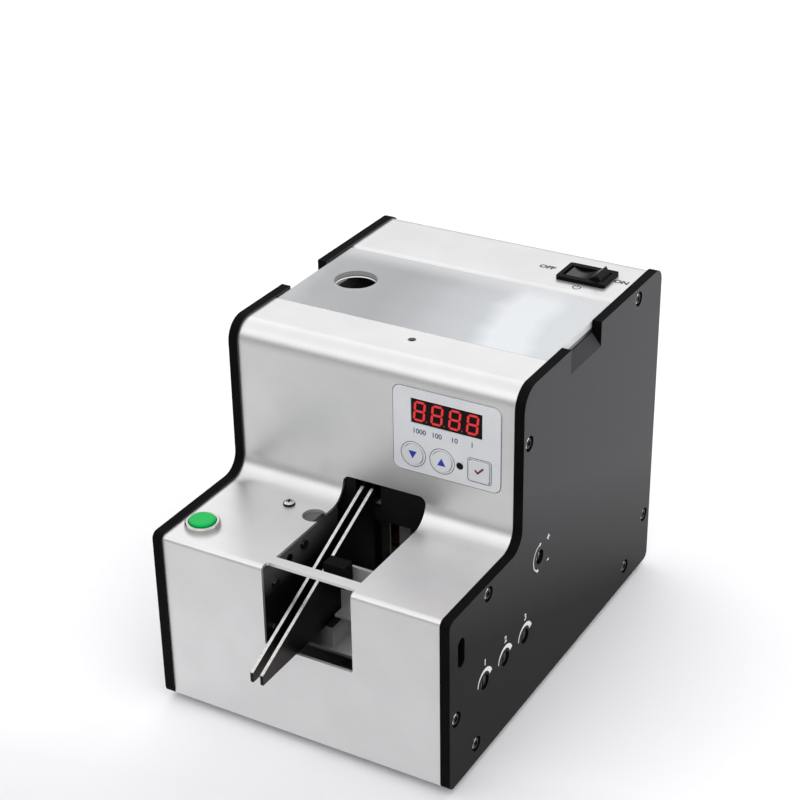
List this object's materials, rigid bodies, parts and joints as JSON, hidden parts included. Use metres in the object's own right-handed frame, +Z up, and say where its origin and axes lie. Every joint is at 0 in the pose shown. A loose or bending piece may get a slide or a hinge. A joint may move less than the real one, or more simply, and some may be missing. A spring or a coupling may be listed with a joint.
{
  "type": "screw counting machine",
  "caption": "Benchtop screw counter: stepped sheet-metal case between side plates, clear-lidded hopper with rollers and brush, vibrating track, slotted chute and counter panel.",
  "frame": {"origin": "centre of the footprint, on the surface that the rubber feet stand on", "axes": "+Z up, +Y from the chute at the front to the back, +X to the operator's right, where the adjusters are"},
  "size_m": [0.126, 0.203, 0.1436],
  "materials": {
    "side_plate": "satin black",
    "cover_sheet": "satin silver",
    "zinc_sheet": "zinc plated",
    "foot_rubber": "matt black",
    "black_screw": "black oxide",
    "clear_lid": "clear acrylic",
    "hopper_sheet": "satin",
    "panel_face": "satin film",
    "display_black": "gloss",
    "panel_key": "satin",
    "circuit_board": "solder mask",
    "bright_bezel": "plated",
    "green_cap": "gloss",
    "bush_brass": "turned",
    "switch_black": "moulded",
    "chute_blade": "blackened with ground edges",
    "grey_metal": "satin",
    "dark_guard": "matt black",
    "bright_steel": "ground",
    "cast_base": "painted",
    "coil_wrap": "taped winding",
    "roller_plastic": "moulded",
    "brush_bristle": "bristle",
    "trimmer_blue": "moulded",
    "trimmer_rotor": "moulded"
  },
  "bodies": {
    "casing": {"left_side_plate": "side_plate", "right_side_plate": "side_plate", "front_cover": "cover_sheet", "rear_cover": "cover_sheet", "base_pan": "zinc_sheet", "rubber_feet": "foot_rubber", "case_screws": "black_screw", "hopper": "hopper_sheet", "control_panel": "panel_face", "display_module": "display_black", "status_led": "display_black", "control_board": "circuit_board", "start_button_body": "bright_bezel", "panel_nuts": "bush_brass", "switch_housing": "switch_black", "chute_left_blade": "chute_blade", "chute_right_blade": "chute_blade", "chute_spacer": "grey_metal", "inner_tray": "grey_metal", "left_guard": "dark_guard", "right_guard": "dark_guard", "guard_screws": "bright_steel", "count_sensor": "switch_black", "sensor_bracket": "grey_metal", "track_shield": "dark_guard", "leaf_springs": "bright_steel", "vibrator_base": "cast_base", "vibrator_coil": "coil_wrap", "gate_post": "grey_metal", "drive_bracket": "zinc_sheet", "bearing_bracket": "zinc_sheet", "shaft_bushes": "bush_brass", "roller_motor": "bright_steel", "brush_bushes": "bush_brass", "brush_belt": "foot_rubber", "trimmer_board": "circuit_board", "trimmer_bodies": "trimmer_blue", "board_bracket": "zinc_sheet", "dc_jack": "switch_black", "driver_board": "circuit_board"},
    "lid": {"hopper_lid": "clear_lid"},
    "start_cap": {"start_button_cap": "green_cap"},
    "rocker": {"power_rocker": "switch_black"},
    "down_key": {"down_button": "panel_key"},
    "up_key": {"up_button": "panel_key"},
    "set_key": {"set_button": "panel_key"},
    "roller": {"roller_shaft": "bright_steel", "left_roller": "roller_plastic", "right_roller": "roller_plastic", "roller_gear": "roller_plastic"},
    "pinion": {"motor_pinion": "bush_brass"},
    "brush": {"brush_shaft": "bright_steel", "brush_wheel": "brush_bristle"},
    "track": {"track_rails": "chute_blade", "track_carrier": "grey_metal"},
    "gate": {"gate_shaft": "bright_steel"},
    "speed_rotor": {"speed_trimmer": "trimmer_rotor"},
    "vibrator_rotor": {"vibrator_trimmer": "trimmer_rotor"},
    "roller_rotor": {"roller_trimmer": "trimmer_rotor"}
  },
  "joints": [
    {"name": "lid_lift", "type": "slide", "parent": "casing", "child": "lid", "axis": [0, 0, 1], "range_m": [0, 0.04]},
    {"name": "start_press", "type": "slide", "parent": "casing", "child": "start_cap", "axis": [0, 0, -1], "range_m": [0, 0.002], "stiffness_N_per_m": 400},
    {"name": "power_rock", "type": "hinge", "parent": "casing", "child": "rocker", "pos_m": [0.0401, 0.0786, 0.1385], "axis": [0, 1, 0], "range_deg": [0, 26]},
    {"name": "down_press", "type": "slide", "parent": "casing", "child": "down_key", "axis": [0, 1, 0], "range_m": [0, 0.0005], "stiffness_N_per_m": 800},
    {"name": "up_press", "type": "slide", "parent": "casing", "child": "up_key", "axis": [0, 1, 0], "range_m": [0, 0.0005], "stiffness_N_per_m": 800},
    {"name": "set_press", "type": "slide", "parent": "casing", "child": "set_key", "axis": [0, 1, 0], "range_m": [0, 0.0005], "stiffness_N_per_m": 800},
    {"name": "roller_spin", "type": "hinge", "parent": "casing", "child": "roller", "pos_m": [0, 0.03275, 0.07103], "axis": [1, 0, 0], "continuous": true},
    {"name": "pinion_spin", "type": "hinge", "parent": "casing", "child": "pinion", "pos_m": [0, 0.03275, 0.02873], "axis": [1, 0, 0], "continuous": true},
    {"name": "brush_spin", "type": "hinge", "parent": "casing", "child": "brush", "pos_m": [0, 0.02, 0.10018], "axis": [1, 0, 0], "continuous": true},
    {"name": "track_vibrate", "type": "slide", "parent": "casing", "child": "track", "axis": [0, 1, 0], "range_m": [-0.0004, 0.0004], "stiffness_N_per_m": 4000, "deforming": ["leaf_springs"]},
    {"name": "gate_turn", "type": "hinge", "parent": "casing", "child": "gate", "pos_m": [0, -0.0081, 0.06353], "axis": [1, 0, 0], "range_deg": [-15, 15]},
    {"name": "speed_turn", "type": "hinge", "parent": "casing", "child": "speed_rotor", "pos_m": [0, -0.0525, 0.0347], "axis": [1, 0, 0], "range_deg": [-140, 140]},
    {"name": "vibrator_turn", "type": "hinge", "parent": "casing", "child": "vibrator_rotor", "pos_m": [0, -0.0361, 0.0347], "axis": [1, 0, 0], "range_deg": [-140, 140]},
    {"name": "roller_turn", "type": "hinge", "parent": "casing", "child": "roller_rotor", "pos_m": [0, -0.0197, 0.0347], "axis": [1, 0, 0], "range_deg": [-140, 140]}
  ],
  "couplings": [
    {"joint": "pinion_spin", "follows": "roller_spin", "ratio": -2.5},
    {"joint": "brush_spin", "follows": "roller_spin", "ratio": 1.5}
  ]
}
